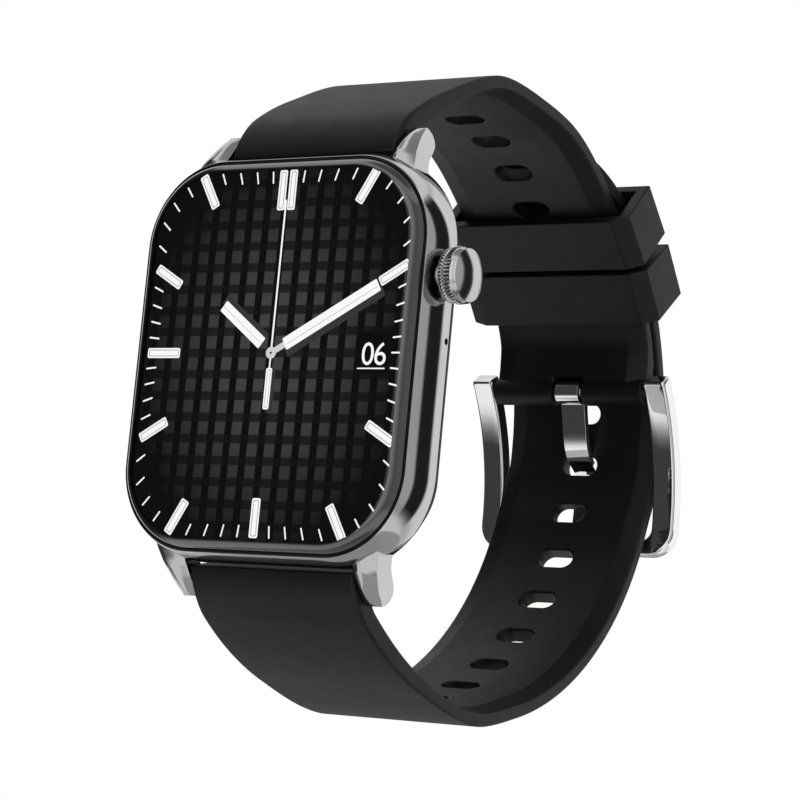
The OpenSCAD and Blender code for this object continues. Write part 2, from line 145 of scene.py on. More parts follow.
class Graph:
    """A node tree, with short calls for what materials and the studio share."""

    def __init__(self, tree):
        self.tree = tree

    def node(self, kind, **settings):
        made = self.tree.nodes.new(kind)
        for key, value in settings.items():
            setattr(made, key, value)
        return made

    def link(self, source, target):
        self.tree.links.new(source, target)

    def maths(self, operation, *values, clamp=False):
        made = self.node("ShaderNodeMath", operation=operation, use_clamp=clamp)
        for socket, value in zip(made.inputs, values):
            if isinstance(value, (int, float)):
                socket.default_value = value
            else:
                self.link(value, socket)
        return made.outputs[0]

    def ramp(self, source, *stops):
        """Colours a 0 to 1 value, with (position, colour) stops."""
        made = self.node("ShaderNodeValToRGB")
        elements = made.color_ramp.elements
        while len(elements) < len(stops):
            elements.new(0.5)
        for element, (position, colour) in zip(elements, stops):
            element.position = position
            element.color = (*colour, 1.0)
        self.link(source, made.inputs["Fac"])
        return made.outputs["Color"]


class Recipe(Graph):
    """The node tree of one material, with short calls for the nodes that repeat."""

    def __init__(self, name, **shader):
        self.material = bpy.data.materials.new(name)
        self.material.use_nodes = True
        super().__init__(self.material.node_tree)
        self.shader = self.tree.nodes["Principled BSDF"]
        self.output = self.tree.nodes["Material Output"]
        for socket, value in shader.items():
            self.shader.inputs[socket.replace("_", " ")].default_value = value

    def place(self):
        """The point on the surface, in the object's own metres."""
        return self.node("ShaderNodeTexCoord").outputs["Object"]

    def noise(self, scale, detail=3.0, roughness=0.5):
        made = self.node("ShaderNodeTexNoise")
        made.inputs["Scale"].default_value = scale
        made.inputs["Detail"].default_value = detail
        made.inputs["Roughness"].default_value = roughness
        self.link(self.place(), made.inputs["Vector"])
        return made.outputs["Fac"]

    def stretched_noise(self, scale, stretch):
        """Noise drawn out along one axis, as brushing or moulding flow is."""
        mapping = self.node("ShaderNodeMapping")
        mapping.inputs["Scale"].default_value = stretch
        self.link(self.place(), mapping.inputs["Vector"])
        made = self.node("ShaderNodeTexNoise")
        made.inputs["Scale"].default_value = scale
        made.inputs["Detail"].default_value = 2.0
        self.link(mapping.outputs["Vector"], made.inputs["Vector"])
        return made.outputs["Fac"]

    def spread(self, source, low, high):
        """Maps a 0 to 1 value to a range."""
        made = self.node("ShaderNodeMapRange")
        made.inputs["To Min"].default_value = low
        made.inputs["To Max"].default_value = high
        self.link(source, made.inputs["Value"])
        return made.outputs["Result"]

    def colour(self, source, socket="Base Color"):
        self.link(source, self.shader.inputs[socket])

    def roughness(self, source):
        self.link(source, self.shader.inputs["Roughness"])

    def bump(self, source, height, strength=1.0):
        made = self.node("ShaderNodeBump")
        made.inputs["Strength"].default_value = strength
        made.inputs["Distance"].default_value = height * MM
        self.link(source, made.inputs["Height"])
        self.link(made.outputs["Normal"], self.shader.inputs["Normal"])


def grey(value):
    return (value, value, value)


def silicone():
    """Black silicone: satin, with a very fine moulded grain and faint handling marks."""
    made = Recipe("strap_silicone", Specular_IOR_Level=0.30, Sheen_Weight=0.02, Sheen_Roughness=0.4)
    cloud = made.noise(120, 4)
    made.colour(made.ramp(cloud, (0.3, grey(0.0055)), (0.75, grey(0.0080))))
    marks = made.noise(420, 5, 0.6)
    made.roughness(made.spread(marks, 0.40, 0.54))
    grain = made.noise(9000, 2)
    made.bump(grain, 0.004, 0.5)
    return made.material


def polished_metal(name, dark, light, rough_low, rough_high, grain=(1.0, 1.0, 1.0)):
    """Polished metal with faint polishing lines and slight colour drift."""
    made = Recipe(name, Metallic=1.0)
    cloud = made.noise(180, 3)
    made.colour(made.ramp(cloud, (0.3, dark), (0.7, light)))
    lines = made.stretched_noise(2600, grain)
    made.roughness(made.spread(lines, rough_low, rough_high))
    made.bump(lines, 0.0006, 0.25)
    return made.material


def moulded_plastic(name, low, high, rough_low, rough_high):
    """Moulded plastic with a fine spark-eroded texture."""
    made = Recipe(name, Specular_IOR_Level=0.5)
    cloud = made.noise(300, 3)
    made.colour(made.ramp(cloud, (0.3, low), (0.7, high)))
    made.roughness(made.spread(made.noise(800, 4), rough_low, rough_high))
    made.bump(made.noise(6000, 2), 0.006, 0.6)
    return made.material


def seal_rubber():
    """Dull black gasket rubber."""
    made = Recipe("gasket_rubber", Specular_IOR_Level=0.3)
    made.colour(made.ramp(made.noise(500), (0.3, grey(0.004)), (0.7, grey(0.009))))
    made.roughness(made.spread(made.noise(1500), 0.6, 0.8))
    made.bump(made.noise(7000), 0.005, 0.6)
    return made.material


def circuit_board():
    """Green solder mask with faint copper tracks below it."""
    made = Recipe("circuit_board", Coat_Weight=0.4, Coat_Roughness=0.2)
    tracks = made.node("ShaderNodeTexBrick")
    tracks.inputs["Scale"].default_value = 900
    tracks.inputs["Color1"].default_value = (0.004, 0.045, 0.02, 1)
    tracks.inputs["Color2"].default_value = (0.006, 0.06, 0.028, 1)
    tracks.inputs["Mortar"].default_value = (0.02, 0.12, 0.05, 1)
    tracks.inputs["Mortar Size"].default_value = 0.05
    made.link(made.place(), tracks.inputs["Vector"])
    made.colour(tracks.outputs["Color"])
    made.roughness(made.spread(made.noise(700), 0.35, 0.5))
    return made.material


def tinted(name, low, high, rough_low, rough_high, metallic=0.0):
    """A small inner part: one tint with slight drift in colour and gloss."""
    made = Recipe(name, Metallic=metallic)
    made.colour(made.ramp(made.noise(600), (0.3, low), (0.7, high)))
    made.roughness(made.spread(made.noise(1200), rough_low, rough_high))
    made.bump(made.noise(3600), 0.003, 0.5)
    return made.material


def clear_glass():
    """Hard clear cover glass: it passes light straight through and mirrors at its surface."""
    made = Recipe("clear_glass")
    made.tree.nodes.remove(made.shader)
    clear = made.node("ShaderNodeBsdfTransparent")
    gloss = made.node("ShaderNodeBsdfGlossy")
    made.link(made.spread(made.noise(260, 4), 0.015, 0.04), gloss.inputs["Roughness"])
    fresnel = made.node("ShaderNodeFresnel")
    fresnel.inputs["IOR"].default_value = 1.5
    mix = made.node("ShaderNodeMixShader")
    made.link(fresnel.outputs[0], mix.inputs["Fac"])
    made.link(clear.outputs[0], mix.inputs[1])
    made.link(gloss.outputs[0], mix.inputs[2])
    made.link(mix.outputs[0], made.output.inputs["Surface"])
    return made.material


def inked_glass():
    """The glass edge, with black ink behind it."""
    made = Recipe("inked_glass", IOR=2.0, Coat_Weight=0.6, Coat_Roughness=0.02)
    made.colour(made.ramp(made.noise(300), (0.3, grey(0.0015)), (0.7, grey(0.003))))
    made.roughness(made.spread(made.noise(260, 4), 0.03, 0.07))
    return made.material


def lit_ink(name, level):
    """Lit graphics on the display, with a faint unevenness."""
    drift = 0.03
    made = Recipe(name, Emission_Strength=1.0, Specular_IOR_Level=0.0, Roughness=1.0)
    made.colour(made.ramp(made.noise(900), (0.3, grey(0.002)), (0.7, grey(0.004))))
    low, high = grey(level * (1 - drift)), grey(level)
    made.colour(made.ramp(made.noise(700), (0.35, low), (0.65, high)), "Emission Color")
    return made.material


def woven_screen():
    """The display's face: a woven check of grey squares that fades towards the rim."""
    made = Recipe("woven_screen", Emission_Strength=1.0, Specular_IOR_Level=0.0, Roughness=1.0)
    made.colour(made.ramp(made.noise(900), (0.3, grey(0.002)), (0.7, grey(0.004))))
    split = made.node("ShaderNodeSeparateXYZ")
    made.link(made.place(), split.inputs[0])
    x = made.maths("DIVIDE", split.outputs["X"], DIAL_SCALE * MM)
    z = made.maths("DIVIDE", split.outputs["Z"], DIAL_SCALE * MM)

    def stripes(value, pitch, centre, width):
        """1 inside a stripe and 0 between stripes, with a soft edge."""
        turn = made.maths("FLOORED_MODULO", made.maths("SUBTRACT", value, centre - pitch / 2), pitch)
        from_centre = made.maths("ABSOLUTE", made.maths("SUBTRACT", turn, pitch / 2))
        edge = made.maths("SUBTRACT", width / 2 + 0.05, from_centre)
        return made.maths("MULTIPLY", edge, 10.0, clamp=True)

    column = stripes(x, pitch=2.07, centre=0.89, width=1.22)
    row = stripes(z, pitch=2.14, centre=-0.92, width=1.26)
    thread = made.maths("SINE", made.maths("MULTIPLY", x, 22.0))
    thread = made.maths("MULTIPLY_ADD", thread, 0.08, 1.0)
    weft = made.maths("SINE", made.maths("MULTIPLY", z, 19.0))
    weft = made.maths("MULTIPLY_ADD", weft, 0.05, 1.0)
    square = made.maths("MULTIPLY", made.maths("MULTIPLY", column, row), 0.038)
    base = made.maths("MULTIPLY_ADD", column, 0.0085, square)
    between = made.maths("MULTIPLY", made.maths("SUBTRACT", 1.0, row), 0.0022)
    base = made.maths("ADD", base, between)
    base = made.maths("MULTIPLY", made.maths("MULTIPLY", base, thread), weft)
    reach_x = made.maths("POWER", made.maths("DIVIDE", x, 15.5), 2.0)
    reach_z = made.maths("POWER", made.maths("DIVIDE", z, 19.0), 2.0)
    away = made.maths("SQRT", made.maths("ADD", reach_x, reach_z))
    fade = made.maths("MULTIPLY", made.maths("SUBTRACT", 1.05, away), 1.45)
    fade = made.maths("MAXIMUM", made.maths("SMOOTH_MIN", fade, 1.0, 0.3), 0.0)
    window_x = made.maths("GREATER_THAN", x, 10.1)
    window_z = made.maths("COMPARE", z, 0.15, 2.05)
    open_area = made.maths("SUBTRACT", 1.0, made.maths("MULTIPLY", window_x, window_z))
    level = made.maths("MULTIPLY", made.maths("MULTIPLY", base, fade), open_area)
    level = made.maths("ADD", level, 0.0026)
    tone = made.node("ShaderNodeCombineColor")
    for channel in ("Red", "Green", "Blue"):
        made.link(level, tone.inputs[channel])
    made.colour(tone.outputs[0], "Emission Color")
    return made.material


SILICONE = silicone()
GUNMETAL = polished_metal("gunmetal", grey(0.52), grey(0.58), 0.06, 0.09, (1.0, 1.0, 0.1))
CROWN_METAL = polished_metal("crown_metal", grey(0.50), grey(0.58), 0.10, 0.16)
CHROME = polished_metal("chrome", grey(0.86), grey(0.92), 0.025, 0.05, (0.2, 1.0, 1.0))
BAR_STEEL = polished_metal("bar_steel", grey(0.45), grey(0.55), 0.18, 0.28)
CLEAR_GLASS = clear_glass()
INKED_GLASS = inked_glass()
SCREEN = woven_screen()
LIT_WHITE = lit_ink("lit_white", 1.0)
LIT_LINE = lit_ink("lit_line", 0.42)
LIT_SILVER = lit_ink("lit_silver", 0.66)
LIT_SHADE = lit_ink("lit_shade", 0.038)
LIT_BLACK = lit_ink("lit_black", 0.004)

SLOT_MATERIALS = {
    "glass": INKED_GLASS,
    "panel": tinted("panel_back", grey(0.010), grey(0.016), 0.3, 0.4),
    "frame_metal": GUNMETAL,
    "crown_metal": CROWN_METAL,
    "steel": CHROME,
    "bar_steel": BAR_STEEL,
    "silicone": SILICONE,
    "seal": seal_rubber(),
    "back_plastic": moulded_plastic("back_plastic", grey(0.010), grey(0.014), 0.38, 0.5),
    "inner_plastic": moulded_plastic("inner_plastic", grey(0.020), grey(0.028), 0.5, 0.6),
    "board": circuit_board(),
    "flex": tinted("flex_film", (0.35, 0.12, 0.01), (0.42, 0.16, 0.02), 0.3, 0.4),
    "foil": tinted("battery_foil", grey(0.55), grey(0.65), 0.3, 0.42, metallic=0.8),
    "chip": tinted("chip_epoxy", grey(0.010), grey(0.018), 0.45, 0.6),
    "gold": tinted("gold_plate", (0.75, 0.48, 0.14), (0.85, 0.58, 0.2), 0.16, 0.26, metallic=1.0),
    "led": tinted("led_lens", (0.05, 0.35, 0.1), (0.08, 0.45, 0.14), 0.15, 0.25),
}
for part in frame["record"]["subparts"]:
    node = frame["nodes"][part["node"]]
    node.data.materials.clear()
    node.data.materials.append(SLOT_MATERIALS[part["material_slot"]])


# ---- Mesh tools ----


def mesh_object(name, bm, *materials):
    """An object in metres from a bmesh drawn in millimetres."""
    bmesh.ops.recalc_face_normals(bm, faces=bm.faces)
    for face in bm.faces:
        face.smooth = True
    bmesh.ops.scale(bm, vec=Vector((MM, MM, MM)), verts=bm.verts)
    mesh = bpy.data.meshes.new(name)
    bm.to_mesh(mesh)
    bm.free()
    for material in materials:
        mesh.materials.append(material)
    made = bpy.data.objects.new(name, mesh)
    bpy.context.scene.collection.objects.link(made)
    return made


def apply_modifiers(made):
    """Turns what the modifiers make into the piece's own mesh."""
    graph = bpy.context.evaluated_depsgraph_get()
    mesh = bpy.data.meshes.new_from_object(
        made.evaluated_get(graph), preserve_all_data_layers=True, depsgraph=graph
    )
    made.modifiers.clear()
    made.data = mesh


def flat_shading_kept(made, sharp):
    """Splits the normals at sharp edges and lets the big faces set the rest."""
    made.data.set_sharp_from_angle(angle=math.radians(sharp))
    weighted = made.modifiers.new("weighted", "WEIGHTED_NORMAL")
    weighted.keep_sharp = True
    weighted.weight = 80
    apply_modifiers(made)


def rounded_edges(made, width, angle):
    """Rounds every edge that is sharper than the angle."""
    bevel = made.modifiers.new("bevel", "BEVEL")
    bevel.width = width * MM
    bevel.segments = 3
    bevel.limit_method = "ANGLE"
    bevel.angle_limit = math.radians(angle)
    apply_modifiers(made)


def piece(made, body, slot, *replaced):
    """Puts a finished piece on its CAD body and hides the CAD parts that it replaces; the slot is not
    used.
    """
    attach(made, body)
    if replaced:
        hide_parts(*replaced)


def ring_faces(bm, first, second, material=0):
    """Joins two rings of as many vertices with quads."""
    count = len(first)
    for k in range(count):
        face = bm.faces.new((first[k], first[(k + 1) % count], second[(k + 1) % count], second[k]))
        face.material_index = material


def arc(centre, radius, start, end, count):
    """Points on an arc, angles in degrees, both ends included."""
    points = []
    for k in range(count + 1):
        a = math.radians(start + (end - start) * k / count)
        points.append((centre[0] + radius * math.cos(a), centre[1] + radius * math.sin(a)))
    return points


# ---- Case ----


def case_outline(steps=26):
    """Corner centre and outward direction all round the case, with extra stops at the arc ends."""
    stops = []
    for cx, cz, start in ((1, 1, 0), (-1, 1, 90), (-1, -1, 180), (1, -1, 270)):
        for k in range(steps + 1):
            a = math.radians(start + 90 * k / steps)
            stops.append((cx * CORE_X, cz * CORE_Z, math.cos(a), math.sin(a)))
    dense = []
    for here, after in zip(stops, stops[1:] + stops[:1]):
        dense.append(here)
        if (here[0], here[1]) != (after[0], after[1]):
            for share in (0.04, 0.25, 0.5, 0.75, 0.96):
                mid = [here[i] + (after[i] - here[i]) * share for i in range(2)]
                dense.append((mid[0], mid[1], here[2], here[3]))
    return dense


def swept_rings(bm, profile):
    """One vertex ring round the case for each (distance, height) of the profile."""
    rings = []
    outline = case_outline()
    for reach, height in profile:
        ring = [bm.verts.new((cx + reach * nx, -height, cz + reach * nz)) for cx, cz, nx, nz in outline]
        rings.append(ring)
    return rings


def bulge_angle(height):
    """Where on the band's bulge a height lies, in degrees."""
    return math.degrees(math.asin((height - FRAME_MID) / FRAME_BULGE))


def drill(made, *holes):
    """Cuts round holes along X through a mesh: each is (x, y, z, radius, length), in mm."""
    bm = bmesh.new()
    for x, y, z, radius, length in holes:
        at = Matrix.Translation((x, y, z)) @ Matrix.Rotation(math.pi / 2, 4, "Y")
        bmesh.ops.create_cone(
            bm, cap_ends=True, segments=32, radius1=radius, radius2=radius, depth=length, matrix=at
        )
    cutter = mesh_object("cutter", bm)
    cut = made.modifiers.new("cut", "BOOLEAN")
    cut.operation = "DIFFERENCE"
    cut.object = cutter
    cut.solver = "EXACT"
    apply_modifiers(made)
    bpy.data.objects.remove(cutter)


def case_frame():
    """The polished metal band with its bulged side, gasket seat and ports."""
    centre = (FRAME_R - FRAME_BULGE, FRAME_MID)
    side = arc(centre, FRAME_BULGE, bulge_angle(FRAME_LOW + 0.08), bulge_angle(FRAME_TOP - 0.06), 40)
    lip = side[-1][0]
    profile = [(WALL_R, FRAME_LOW), (side[0][0] - 0.12, FRAME_LOW)]
    profile += side
    profile += [(lip - 0.05, FRAME_TOP), (SEAT_R + 0.02, FRAME_TOP), (SEAT_R, FRAME_TOP - 0.03)]
    profile += [(SEAT_R, SEAT_H), (WALL_R, SEAT_H)]
    bm = bmesh.new()
    rings = swept_rings(bm, profile)
    for first, second in zip(rings, rings[1:] + rings[:1]):
        ring_faces(bm, first, second)
    made = mesh_object("case_band", bm, GUNMETAL)
    drill(made, MIC_PORT, CROWN_BORE, *SPEAKER_PORTS)
    flat_shading_kept(made, 35)
    piece(made, "case", "frame_metal", "mid_frame")


def cover_glass():
    """Cover glass with a rolled edge: clear over the display, inked at the rim."""
    flat_r = GLASS_R - GLASS_EDGE
    low_angle = math.degrees(math.asin((GLASS_LOW - GLASS_TOP + GLASS_EDGE) / GLASS_EDGE))
    edge = arc((flat_r, GLASS_TOP - GLASS_EDGE), GLASS_EDGE, low_angle, 90, 20)
    profile = [(flat_r - 1.2, GLASS_LOW)] + edge + [(flat_r - 0.25, GLASS_TOP)]
    bm = bmesh.new()
    rings = swept_rings(bm, profile)
    for k in range(len(rings) - 1):
        clear = k > 0 and profile[k][0] < INK_R
        ring_faces(bm, rings[k], rings[k + 1], 1 if clear else 0)
    bm.faces.new(rings[-1]).material_index = 1
    bm.faces.new(rings[0]).material_index = 0
    made = mesh_object("watch_glass", bm, INKED_GLASS, CLEAR_GLASS)
    flat_shading_kept(made, 60)
    piece(made, "case", "glass", "cover_glass")


# The lugs' front and back outlines, as (distance from the middle, Y).
LUG_FRONT = (
    (18.6, -8.6), (19.25, -8.3), (20.9, -7.5), (22.5, -6.25), (23.3, -5.5), (23.75, -4.95),
    (24.03, -4.5), (24.12, -4.2),
)
LUG_BACK = (
    (18.6, -5.2), (19.5, -5.15), (20.6, -4.6), (21.6, -3.6), (22.4, -2.98), (23.0, -2.87),
    (23.6, -3.1), (24.0, -3.6), (24.12, -4.0),
)


def along(points, at):
    """Reads a value off a line drawn through (place, value) points."""
    return float(np.interp(at, [p[0] for p in points], [p[1] for p in points]))


def lug(side, end):
    """One polished horn: a tapered loft from the case to a round tip, with chamfered front edges."""
    bm = bmesh.new()
    rows = []
    inner, outer = 10.2, 13.5
    root, tip = LUG_FRONT[0][0], LUG_FRONT[-1][0]
    steps = 18
    for k in range(steps + 1):
        z = root + (tip - root) * math.sin(math.radians(90 * k / steps))
        front, back = along(LUG_FRONT, z), along(LUG_BACK, z)
        taper = max(0.0, (z - 19.25) / 5.25)
        wide = outer - 1.5 * taper
        bevel = min(0.45, 0.25 * (back - front))
        facet = 0.95 - 0.25 * taper
        ring = [
            (inner, back), (inner, front + bevel), (inner + facet, front),
            (wide - facet, front), (wide, front + bevel), (wide, back),
        ]
        rows.append([bm.verts.new((side * x, y, end * z)) for x, y in ring])
    for first, second in zip(rows, rows[1:]):
        ring_faces(bm, first, second)
    bm.faces.new(rows[0])
    bm.faces.new(rows[-1])
    return bm


def lugs():
    """The four horns that hold the strap's bars."""
    for side in (-1, 1):
        for end in (-1, 1):
            bm = lug(side, end)
            name = f"lug_{'right' if side > 0 else 'left'}_{'upper' if end > 0 else 'lower'}"
            made = mesh_object(name, bm, GUNMETAL)
            rounded_edges(made, 0.16, 24)
            flat_shading_kept(made, 50)
            piece(made, "case", "frame_metal", "lugs")


# ---- Dial ----


def rounded_bar(length, width, radius, steps=5):
    """Outline of a bar from (0, -width/2) to (length, width/2) with round corners."""
    points = []
    half = width / 2
    corners = (
        (length - radius, half - radius, 0), (radius, half - radius, 90),
        (radius, radius - half, 180), (length - radius, radius - half, 270),
    )
    for x, y, start in corners:
        points += arc((x, y), radius, start, start + 90, steps)
    return points


def on_dial(bm, points, depth, turn, origin=(0.0, 0.0)):
    """Vertices of a flat outline laid on the dial; turn is degrees clockwise from 12 o'clock."""
    a = math.radians(turn)
    ahead = (math.sin(a), math.cos(a))
    across = (math.cos(a), -math.sin(a))
    made = []
    for p, q in points:
        x = origin[0] + p * ahead[0] + q * across[0]
        z = origin[1] + p * ahead[1] + q * across[1]
        made.append(bm.verts.new((x, DIAL_Y - depth, z)))
    return made


def baton(bm, start, length, width, turn, depth=0.02, line=0.09, inset=0.17, offset=0.0):
    """A white bar with a thin inner outline: materials 0 white, 1 line."""
    rings = []
    for gap in (0.0, inset, inset + line):
        outline = rounded_bar(length - 2 * gap, width - 2 * gap, max(0.05, 0.2 - gap * 0.4))
        shifted = [(p + start + gap, q + offset) for p, q in outline]
        rings.append(on_dial(bm, shifted, depth, turn))
    ring_faces(bm, rings[0], rings[1], 0)
    ring_faces(bm, rings[1], rings[2], 1)
    bm.faces.new(rings[2]).material_index = 0


def bar(bm, start, length, width, turn, depth, material=0, offset=0.0, radius=None, shift=(0.0, 0.0)):
    """A plain bar from start along its direction, with round ends unless a radius is given."""
    corner = min(width, length) * 0.45 if radius is None else radius
    outline = [(p + start, q + offset) for p, q in rounded_bar(length, width, corner)]
    bm.faces.new(on_dial(bm, outline, depth, turn, shift)).material_index = material


def perimeter(turn):
    """Distance from the dial's centre to the minute track in one direction."""
    a = math.radians(turn)
    dx, dz = abs(math.sin(a)), abs(math.cos(a))
    reach = min(MARK_SIDE / dx if dx > 1e-6 else 1e9, MARK_TOP / dz if dz > 1e-6 else 1e9)
    x, z = dx * reach, dz * reach
    cx, cz = MARK_SIDE - TRACK_CORNER, MARK_TOP - TRACK_CORNER
    if x > cx and z > cz:
        b = dx * cx + dz * cz
        return b + math.sqrt(b * b - (cx * cx + cz * cz - TRACK_CORNER * TRACK_CORNER))
    return reach


def face_up(made):
    """Turns every face of a dial piece to the front."""
    bm = bmesh.new()
    bm.from_mesh(made.data)
    for face in bm.faces:
        if face.normal.y > 0:
            face.normal_flip()
    bm.to_mesh(made.data)
    bm.free()


def dial_piece(name, bm, *materials):
    """Finishes a piece of the dial, drawn to the display's own scale."""
    bmesh.ops.scale(bm, vec=Vector((DIAL_SCALE, 1, DIAL_SCALE)), verts=bm.verts)
    bmesh.ops.translate(bm, vec=Vector((0, 0, DIAL_LIFT)), verts=bm.verts)
    made = mesh_object(name, bm, *materials)
    face_up(made)
    piece(made, "case", "panel")


def dial_screen():
    """The lit face itself, under the clear part of the glass."""
    bm = bmesh.new()
    reach = INK_R - 0.25
    outline = [(cx + reach * nx, cz + reach * nz) for cx, cz, nx, nz in case_outline(12)]
    bm.faces.new([bm.verts.new((x, DIAL_Y, z)) for x, z in outline])
    dial_piece("dial_screen", bm, SCREEN)


def hour_markers():
    """Eleven bars, doubled at 12 o'clock and left out at 3 for the date."""
    bm = bmesh.new()
    for hour in range(1, 13):
        turn = 30 * hour
        if hour == 3:
            continue
        if hour == 12:
            for side in (-1, 1):
                baton(bm, MARK_TOP - 3.95, 4.05, 0.92, 0, offset=0.6 * side)
            continue
        if hour in (1, 5, 6, 7, 11):
            slant = abs(math.cos(math.radians(turn)))
            reach = MARK_TOP / slant
            length = 3.9 if hour == 6 else 3.63 / slant - 0.35
        else:
            slant = abs(math.sin(math.radians(turn)))
            reach = MARK_SIDE / slant
            length = 4.04 if hour == 9 else 3.38 / slant - 0.25
        if hour not in (6, 9):
            reach -= 0.15
        baton(bm, reach - length, length, MARK_WIDE, turn)
    dial_piece("hour_markers", bm, LIT_WHITE, LIT_LINE)


def minute_track():
    """Thin bars for the minutes between the hour markers, and one at 3 o'clock."""
    bm = bmesh.new()
    for minute in range(60):
        if minute % 5 == 0 and minute != 15:
            continue
        turn = 6 * minute
        reach = perimeter(turn)
        bar(bm, reach - 1.25, 1.25, 0.17, turn, 0.02)
    dial_piece("minute_track", bm, LIT_WHITE)


def date_numerals():
    """The day of the month as two figures with a line below."""
    curve = bpy.data.curves.new("date_numerals", "FONT")
    curve.body = "06"
    curve.size = 3.3 * MM
    curve.space_character = 0.92
    curve.resolution_u = 6
    text = bpy.data.objects.new("date_numerals", curve)
    bpy.context.scene.collection.objects.link(text)
    graph = bpy.context.evaluated_depsgraph_get()
    mesh = bpy.data.meshes.new_from_object(text.evaluated_get(graph))
    bpy.data.objects.remove(text)
    co = np.array([v.co for v in mesh.vertices]) / MM
    low, high = co.min(0), co.max(0)
    wide, tall = 2.75, 2.2
    bm = bmesh.new()
    bm.from_mesh(mesh)
    for vert in bm.verts:
        x = (vert.co.x / MM - low[0]) / (high[0] - low[0]) * wide + 10.62
        z = (vert.co.y / MM - low[1]) / (high[1] - low[1]) * tall - 1.2
        vert.co = (x, DIAL_Y - 0.02, z)
    bar(bm, 10.2, 3.15, 0.13, 90, 0.02, shift=(0.0, -1.52))
    dial_piece("date_numerals", bm, LIT_WHITE)


def hands():
    """Shadows first, then the hour, minute and seconds hands, each a little nearer the glass."""
    hour_turn, minute_turn = 307, 60.7
    shade = bmesh.new()
    bar(shade, 1.5, 6.7, 1.1, hour_turn, 0.01, offset=0.62, radius=0.15)
    bar(shade, 1.5, 12.3, 1.2, minute_turn, 0.01, offset=0.75, radius=0.15)
    bar(shade, 1.6, 4.3, 0.8, 180, 0.01, offset=-0.32, radius=0.15)
    dial_piece("hand_shadows", shade, LIT_SHADE)

    hour = bmesh.new()
    bar(hour, 1.55, 6.35, 1.26, hour_turn, 0.03, radius=0.12)
    bar(hour, 1.6, 6.3, 0.05, hour_turn, 0.035, material=1, offset=-0.05, radius=0.01)
    dial_piece("hour_hand", hour, LIT_WHITE, LIT_LINE)

    minute = bmesh.new()
    bar(minute, 0.4, 1.6, 0.62, minute_turn, 0.045, material=2, radius=0.08)
    bar(minute, 1.7, 11.85, 1.3, minute_turn, 0.05, radius=0.14)
    bar(minute, 1.9, 11.5, 0.06, minute_turn, 0.055, material=1, offset=0.12, radius=0.01)
    dial_piece("minute_hand", minute, LIT_WHITE, LIT_LINE, LIT_SILVER)

    seconds = bmesh.new()
    bar(seconds, 0.3, 15.0, 0.2, 0, 0.07)
    bar(seconds, 0.3, 1.3, 0.18, 180, 0.07)
    baton(seconds, 1.5, 4.1, 0.72, 180, depth=0.075, line=0.06, inset=0.16)
    bar(seconds, -0.6, 1.2, 1.2, 0, 0.08, material=2, radius=0.59)
    bar(seconds, -0.12, 0.24, 0.24, 0, 0.085, material=3, radius=0.115)
    dial_piece("seconds_hand", seconds, LIT_WHITE, LIT_LINE, LIT_SILVER, LIT_BLACK)


# ---- Crown ----


def crown():
    """Two knurled rings, a smooth polished band and a domed end."""
    low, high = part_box("crown_cap")
    x0, x1 = low.x / MM, high.x / MM
    radius = (high.z - low.z) / 2 / MM
    centre = Vector((0, (low.y + high.y) / 2 / MM, (low.z + high.z) / 2 / MM))
    teeth = 46
    around = teeth * 6
    drawn_r = 2.85
    dome_r, dome_edge, dome_steps = 6.0, 2.62, 9
    shapes = []
    for x, r, depth in (
        (0.0, 2.1, 0), (0.0, 2.6, 0.1), (0.08, 2.74, 0.22), (0.5, 2.74, 0.22), (0.58, 2.6, 0.1),
        (0.59, 2.42, 0), (0.7, 2.42, 0), (0.71, 2.62, 0.1), (0.79, drawn_r, 0.28), (1.3, drawn_r, 0.28),
        (1.38, 2.76, 0.1), (1.4, 2.78, 0), (1.44, 2.82, 0), (1.72, 2.8, 0), (1.8, 2.74, 0),
    ):
        shapes.append((x, r * radius / drawn_r, depth))
    for k in range(dome_steps):
        r = dome_edge * (1 - k / dome_steps)
        x = x1 - x0 - dome_r + math.sqrt(dome_r * dome_r - r * r)
        shapes.append((x - 0.01, r, 0))
    bm = bmesh.new()
    rings = []
    for x, r, depth in shapes:
        ring = []
        for k in range(around):
            a = 2 * math.pi * k / around
            wave = 0.5 - 0.5 * math.cos(teeth * a)
            reach = r - depth * wave ** 1.5
            y, z = centre.y + reach * math.cos(a), centre.z + reach * math.sin(a)
            ring.append(bm.verts.new((x0 + x, y, z)))
        rings.append(ring)
    for first, second in zip(rings, rings[1:]):
        ring_faces(bm, first, second)
    bm.faces.new(rings[0])
    bm.faces.new(rings[-1])
    made = mesh_object("crown_knob", bm, CROWN_METAL)
    flat_shading_kept(made, 42)
    piece(made, "crown", "crown_metal", "crown_cap")


# ---- Strap ----


def smooth(value, start, end):
    """0 before the start and 1 after the end, with a soft step between."""
    u = min(1.0, max(0.0, (value - start) / (end - start)))
    return u * u * (3 - 2 * u)


def loop_point(angle, out):
    """A point of the strap loop at an angle in degrees, moved outwards, as (Y, Z)."""
    a = math.radians(angle)
    ny, nz = math.cos(a) / LOOP_WIDE, math.sin(a) / LOOP_TALL
    size = math.hypot(ny, nz)
    y = LOOP_Y + LOOP_WIDE * math.cos(a) + out * ny / size
    return Vector((y, LOOP_TALL * math.sin(a) + out * nz / size))


def loop_normal(angle):
    """Direction straight out of the loop, in degrees from +Y."""
    a = math.radians(angle)
    return math.degrees(math.atan2(math.sin(a) / LOOP_TALL, math.cos(a) / LOOP_WIDE))


def arc_lengths():
    """Length along the loop from angle 0, for finely spaced angles."""
    angles = np.linspace(0.0, ROOT_A, 1291)
    rad = np.radians(angles)
    speed = np.hypot(LOOP_WIDE * np.sin(rad), LOOP_TALL * np.cos(rad)) * math.radians(angles[1])
    lengths = np.concatenate(([0.0], np.cumsum((speed[1:] + speed[:-1]) / 2)))
    return angles, lengths


ANGLES, LENGTHS = arc_lengths()
ROOT_S = float(LENGTHS[-1])


